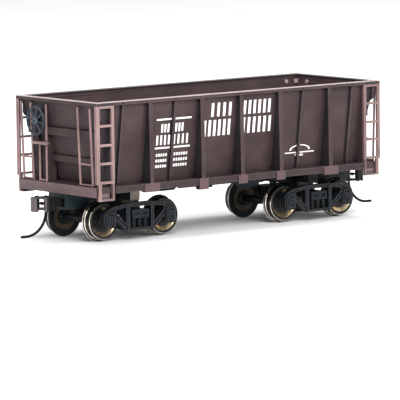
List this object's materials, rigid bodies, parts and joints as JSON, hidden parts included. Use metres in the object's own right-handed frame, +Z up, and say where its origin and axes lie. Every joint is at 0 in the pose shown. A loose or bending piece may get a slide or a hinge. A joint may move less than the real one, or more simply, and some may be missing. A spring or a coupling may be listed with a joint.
{
  "type": "model hopper car",
  "caption": "Open-top model railway hopper car, 1:87 scale, with side stakes, corner ladders, hand brake wheel, swivelling trucks and knuckle couplers.",
  "frame": {"origin": "mid length and mid width of the car, at the height of the wheel flange bottoms", "axes": "+X along the car towards the plain (A) end, -X towards the hand brake (B) end, +Y across the car, +Z up"},
  "size_m": [0.1212, 0.0366, 0.0377],
  "materials": {
    "body_plastic": "moulded mineral brown plastic, matt",
    "trim_plastic": "moulded mineral brown plastic with lighter worn edges",
    "black_plastic": "moulded black plastic, satin",
    "hub_plastic": "black insulating plastic",
    "wheel_metal": "turned nickel-brass, polished tread",
    "axle_steel": "blackened steel",
    "coupler_metal": "chemically blackened cast metal",
    "spring_bronze": "phosphor bronze strip and wire",
    "ballast_steel": "plain steel block",
    "bright_steel": "dark steel screw, pin or wire",
    "brake_wheel_metal": "blue-grey painted metal"
  },
  "bodies": {
    "car_body": {"air_reservoir": "black_plastic", "brake_cylinder": "body_plastic", "brake_housing": "trim_plastic", "brake_stand": "trim_plastic", "brake_step": "trim_plastic", "centring_spring_a": "spring_bronze", "centring_spring_b": "spring_bronze", "coupler_box_lid_a": "black_plastic", "coupler_box_lid_b": "black_plastic", "coupler_lid_screw_a": "bright_steel", "coupler_lid_screw_b": "bright_steel", "discharge_door_a": "body_plastic", "discharge_door_b": "body_plastic", "door_shaft": "black_plastic", "end_frame_front_a": "trim_plastic", "end_frame_front_b": "trim_plastic", "end_frame_rear_a": "trim_plastic", "end_frame_rear_b": "trim_plastic", "hopper_body": "body_plastic", "ladder_front_a": "trim_plastic", "ladder_front_b": "trim_plastic", "ladder_rear_a": "trim_plastic", "ladder_rear_b": "trim_plastic", "steel_ballast_a": "ballast_steel", "steel_ballast_b": "ballast_steel", "truck_screw_a": "bright_steel", "truck_screw_b": "bright_steel", "underframe": "black_plastic"},
    "truck_b": {"truck_frame_b": "black_plastic"},
    "wheelset_b_outer": {"axle_b_outer": "axle_steel", "wheel_bushes_b_outer": "hub_plastic", "wheel_b_outer_front": "wheel_metal", "wheel_b_outer_rear": "wheel_metal"},
    "wheelset_b_inner": {"axle_b_inner": "axle_steel", "wheel_bushes_b_inner": "hub_plastic", "wheel_b_inner_front": "wheel_metal", "wheel_b_inner_rear": "wheel_metal"},
    "coupler_b": {"coupler_head_b": "coupler_metal", "knuckle_rivet_b": "bright_steel", "knuckle_spring_b": "spring_bronze", "trip_pin_b": "bright_steel"},
    "knuckle_b_body": {"knuckle_b": "coupler_metal"},
    "truck_a": {"truck_frame_a": "black_plastic"},
    "wheelset_a_outer": {"axle_a_outer": "axle_steel", "wheel_bushes_a_outer": "hub_plastic", "wheel_a_outer_front": "wheel_metal", "wheel_a_outer_rear": "wheel_metal"},
    "wheelset_a_inner": {"axle_a_inner": "axle_steel", "wheel_bushes_a_inner": "hub_plastic", "wheel_a_inner_front": "wheel_metal", "wheel_a_inner_rear": "wheel_metal"},
    "coupler_a": {"coupler_head_a": "coupler_metal", "knuckle_rivet_a": "bright_steel", "knuckle_spring_a": "spring_bronze", "trip_pin_a": "bright_steel"},
    "knuckle_a_body": {"knuckle_a": "coupler_metal"},
    "hand_brake": {"brake_wheel": "brake_wheel_metal", "brake_shaft": "bright_steel"}
  },
  "joints": [
    {"name": "truck_b_swivel", "type": "hinge", "parent": "car_body", "child": "truck_b", "pos_m": [-0.03075, 0, 0.0102], "axis": [0, 0, 1], "range_deg": [-10, 10]},
    {"name": "wheelset_b_outer_roll", "type": "hinge", "parent": "truck_b", "child": "wheelset_b_outer", "pos_m": [-0.04075, 0, 0.00545], "axis": [0, 1, 0], "continuous": true},
    {"name": "wheelset_b_inner_roll", "type": "hinge", "parent": "truck_b", "child": "wheelset_b_inner", "pos_m": [-0.02075, 0, 0.00545], "axis": [0, 1, 0], "continuous": true},
    {"name": "coupler_b_swing", "type": "hinge", "parent": "car_body", "child": "coupler_b", "pos_m": [-0.0435, 0, 0.0104], "axis": [0, 0, 1], "range_deg": [-10, 10], "stiffness_Nm_per_rad": 0.002},
    {"name": "knuckle_b_open", "type": "hinge", "parent": "coupler_b", "child": "knuckle_b_body", "pos_m": [-0.0537, 0.0022, 0.0103], "axis": [0, 0, -1], "range_deg": [0, 25], "stiffness_Nm_per_rad": 0.0005},
    {"name": "truck_a_swivel", "type": "hinge", "parent": "car_body", "child": "truck_a", "pos_m": [0.03075, 0, 0.0102], "axis": [0, 0, 1], "range_deg": [-10, 10]},
    {"name": "wheelset_a_outer_roll", "type": "hinge", "parent": "truck_a", "child": "wheelset_a_outer", "pos_m": [0.04075, 0, 0.00545], "axis": [0, 1, 0], "continuous": true},
    {"name": "wheelset_a_inner_roll", "type": "hinge", "parent": "truck_a", "child": "wheelset_a_inner", "pos_m": [0.02075, 0, 0.00545], "axis": [0, 1, 0], "continuous": true},
    {"name": "coupler_a_swing", "type": "hinge", "parent": "car_body", "child": "coupler_a", "pos_m": [0.0435, 0, 0.0104], "axis": [0, 0, 1], "range_deg": [-10, 10], "stiffness_Nm_per_rad": 0.002},
    {"name": "knuckle_a_open", "type": "hinge", "parent": "coupler_a", "child": "knuckle_a_body", "pos_m": [0.0537, -0.0022, 0.0103], "axis": [0, 0, -1], "range_deg": [0, 25], "stiffness_Nm_per_rad": 0.0005},
    {"name": "hand_brake_turn", "type": "hinge", "parent": "car_body", "child": "hand_brake", "pos_m": [-0.0498, 0.0078, 0.0316], "axis": [1, 0, 0], "continuous": true}
  ]
}
